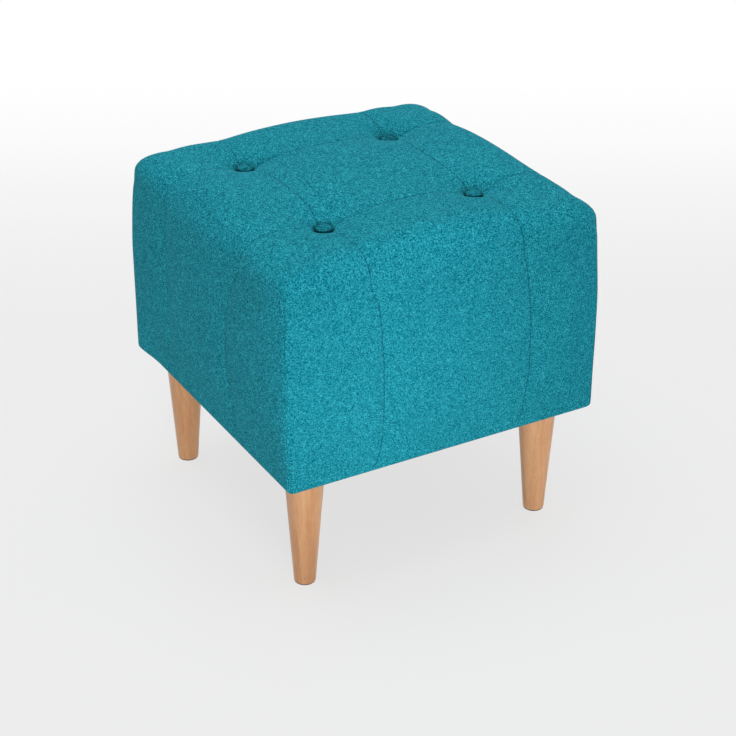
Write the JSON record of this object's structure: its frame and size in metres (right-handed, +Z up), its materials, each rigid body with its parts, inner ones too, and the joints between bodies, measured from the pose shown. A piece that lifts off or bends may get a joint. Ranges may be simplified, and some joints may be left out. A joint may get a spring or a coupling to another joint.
{
  "type": "pouf",
  "caption": "Square upholstered pouf with a tufted, button-pulled seat in melange fabric, sewn channels down its sides and straight tapered turned wooden legs.",
  "frame": {"origin": "on the floor, under the middle of the pouf", "axes": "+Z up the pouf's middle, -Y to the front, +X to the right; the pouf is the same from all four sides"},
  "size_m": [0.4486, 0.4486, 0.4468],
  "materials": {
    "cover_fabric": "matte",
    "foam": "matte",
    "dust_cloth": "matte",
    "beech": "satin",
    "dowel_beech": "matte",
    "pine": "matte",
    "plywood": "matte",
    "hardboard": "matte",
    "zinc_steel": "satin",
    "staple_steel": "satin",
    "glide_plastic": "satin",
    "washer_plastic": "satin",
    "twine": "matte"
  },
  "bodies": {
    "root": {"bottom_rail_back": "pine", "bottom_rail_front": "pine", "bottom_rail_left": "pine", "bottom_rail_right": "pine", "corner_post_back_left": "pine", "corner_post_back_right": "pine", "corner_post_front_left": "pine", "corner_post_front_right": "pine", "dust_cover": "dust_cloth", "dust_cover_staples": "staple_steel", "fabric_cover": "cover_fabric", "hanger_bolt_back_left": "zinc_steel", "hanger_bolt_back_right": "zinc_steel", "hanger_bolt_front_left": "zinc_steel", "hanger_bolt_front_right": "zinc_steel", "hem_staples": "staple_steel", "insert_nut_back_left": "zinc_steel", "insert_nut_back_right": "zinc_steel", "insert_nut_front_left": "zinc_steel", "insert_nut_front_right": "zinc_steel", "leg_back_left": "beech", "leg_back_right": "beech", "leg_front_left": "beech", "leg_front_right": "beech", "leg_glide_back_left": "glide_plastic", "leg_glide_back_right": "glide_plastic", "leg_glide_front_left": "glide_plastic", "leg_glide_front_right": "glide_plastic", "panel_staples": "staple_steel", "rail_dowels": "dowel_beech", "seat_board": "plywood", "seat_board_screws": "zinc_steel", "seat_foam": "foam", "side_foam_back": "foam", "side_foam_front": "foam", "side_foam_left": "foam", "side_foam_right": "foam", "side_panel_back": "hardboard", "side_panel_front": "hardboard", "side_panel_left": "hardboard", "side_panel_right": "hardboard", "top_rail_back": "pine", "top_rail_front": "pine", "top_rail_left": "pine", "top_rail_right": "pine", "tuft_button_back_left": "cover_fabric", "tuft_button_back_right": "cover_fabric", "tuft_button_front_left": "cover_fabric", "tuft_button_front_right": "cover_fabric", "tuft_twine_back_left": "twine", "tuft_twine_back_right": "twine", "tuft_twine_front_left": "twine", "tuft_twine_front_right": "twine", "tuft_washer_back_left": "washer_plastic", "tuft_washer_back_right": "washer_plastic", "tuft_washer_front_left": "washer_plastic", "tuft_washer_front_right": "washer_plastic"}
  },
  "joints": []
}
